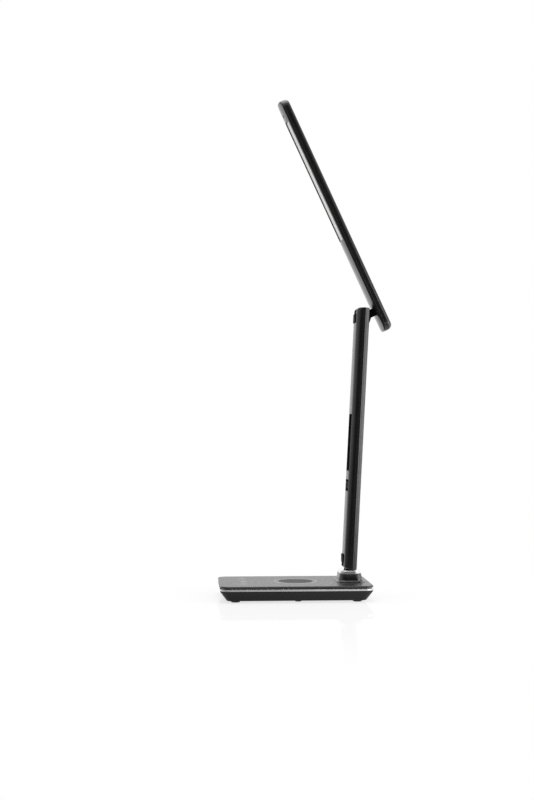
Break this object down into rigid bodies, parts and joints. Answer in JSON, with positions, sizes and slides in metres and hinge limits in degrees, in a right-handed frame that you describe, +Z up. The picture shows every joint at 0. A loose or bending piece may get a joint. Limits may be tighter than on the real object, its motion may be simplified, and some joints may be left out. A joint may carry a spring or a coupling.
{
  "type": "folding led desk lamp",
  "caption": "Folding desk lamp with a flat charging base, a slim stem with a clock display and a long flat light head that fold onto each other.",
  "frame": {"origin": "centre of the base's plan at desk level", "axes": "+Z up, +X towards the back of the lamp where the stem stands, Y from side to side along the hinge pins"},
  "size_m": [0.1919, 0.1058, 0.5596],
  "materials": {
    "cover": "fine satin texture, dark grey",
    "shell": "fine satin texture, black",
    "chrome": "bright plated",
    "steel": "plain sheet",
    "screw": "zinc plated",
    "rubber": "matt",
    "pad": "matt silicone",
    "mark": "translucent light grey inlay",
    "copper": "enamelled copper winding",
    "ferrite": "sintered ferrite sheet",
    "board": "solder mask",
    "knuckle": "satin, glass filled",
    "arm": "satin black",
    "window": "gloss black",
    "key": "satin black",
    "lcd": "display glass and backlight",
    "cell": "nickel plated can",
    "ribbon": "flat cable",
    "washer": "acetal friction washer",
    "head_low": "satin black",
    "diffuser": "opal",
    "guide": "clear acrylic",
    "sheet": "white film",
    "led": "white board with light-emitting packages",
    "heat": "plain sheet"
  },
  "bodies": {
    "base": {"base_top_cover": "cover", "base_lower_shell": "shell", "trim_ring": "chrome", "ballast_plate": "steel", "charge_pad": "pad", "pad_ring": "mark", "charging_coil": "copper", "coil_shield": "ferrite", "base_board": "board", "touch_board": "board", "touch_marks": "mark", "power_inlet": "steel", "corner_feet": "rubber", "middle_feet": "rubber", "case_screws": "screw", "pedestal": "shell", "pedestal_screws": "screw", "collar": "chrome", "lower_knuckle": "knuckle"},
    "stem": {"stem_front_shell": "arm", "stem_rear_shell": "arm", "stem_spine": "steel", "spine_screws": "screw", "stem_ribbon": "ribbon", "display_window": "window", "lcd_panel": "lcd", "control_board": "board", "key_switches": "knuckle", "clock_battery": "cell", "key_plate": "window", "lower_pin": "steel", "upper_pin": "steel", "lower_washers": "washer", "upper_washers": "washer", "pin_caps": "arm"},
    "head": {"upper_knuckle": "knuckle", "knuckle_screws": "screw", "head_underside": "head_low", "head_top_shell": "arm", "light_diffuser": "diffuser", "light_guide": "guide", "reflector_sheet": "sheet", "led_strips": "led", "heat_plate": "heat", "underside_plug": "rubber"},
    "key_left": {"key_left": "key"},
    "key_middle": {"key_middle": "key"},
    "key_right": {"key_right": "key"}
  },
  "joints": [
    {"name": "stem_fold", "type": "hinge", "parent": "base", "child": "stem", "pos_m": [0.0628, 0, 0.0432], "axis": [0, -1, 0], "range_deg": [0, 93]},
    {"name": "head_tilt", "type": "hinge", "parent": "stem", "child": "head", "pos_m": [0.07722, 0, 0.31842], "axis": [0, -1, 0], "range_deg": [0, 152.2]},
    {"name": "key_left_press", "type": "slide", "parent": "stem", "child": "key_left", "axis": [0.9986, 0, -0.0523], "range_m": [0, 0.0008], "stiffness_N_per_m": 800, "springref_m": -0.0003},
    {"name": "key_middle_press", "type": "slide", "parent": "stem", "child": "key_middle", "axis": [0.9986, 0, -0.0523], "range_m": [0, 0.0008], "stiffness_N_per_m": 800, "springref_m": -0.0003},
    {"name": "key_right_press", "type": "slide", "parent": "stem", "child": "key_right", "axis": [0.9986, 0, -0.0523], "range_m": [0, 0.0008], "stiffness_N_per_m": 800, "springref_m": -0.0003}
  ]
}
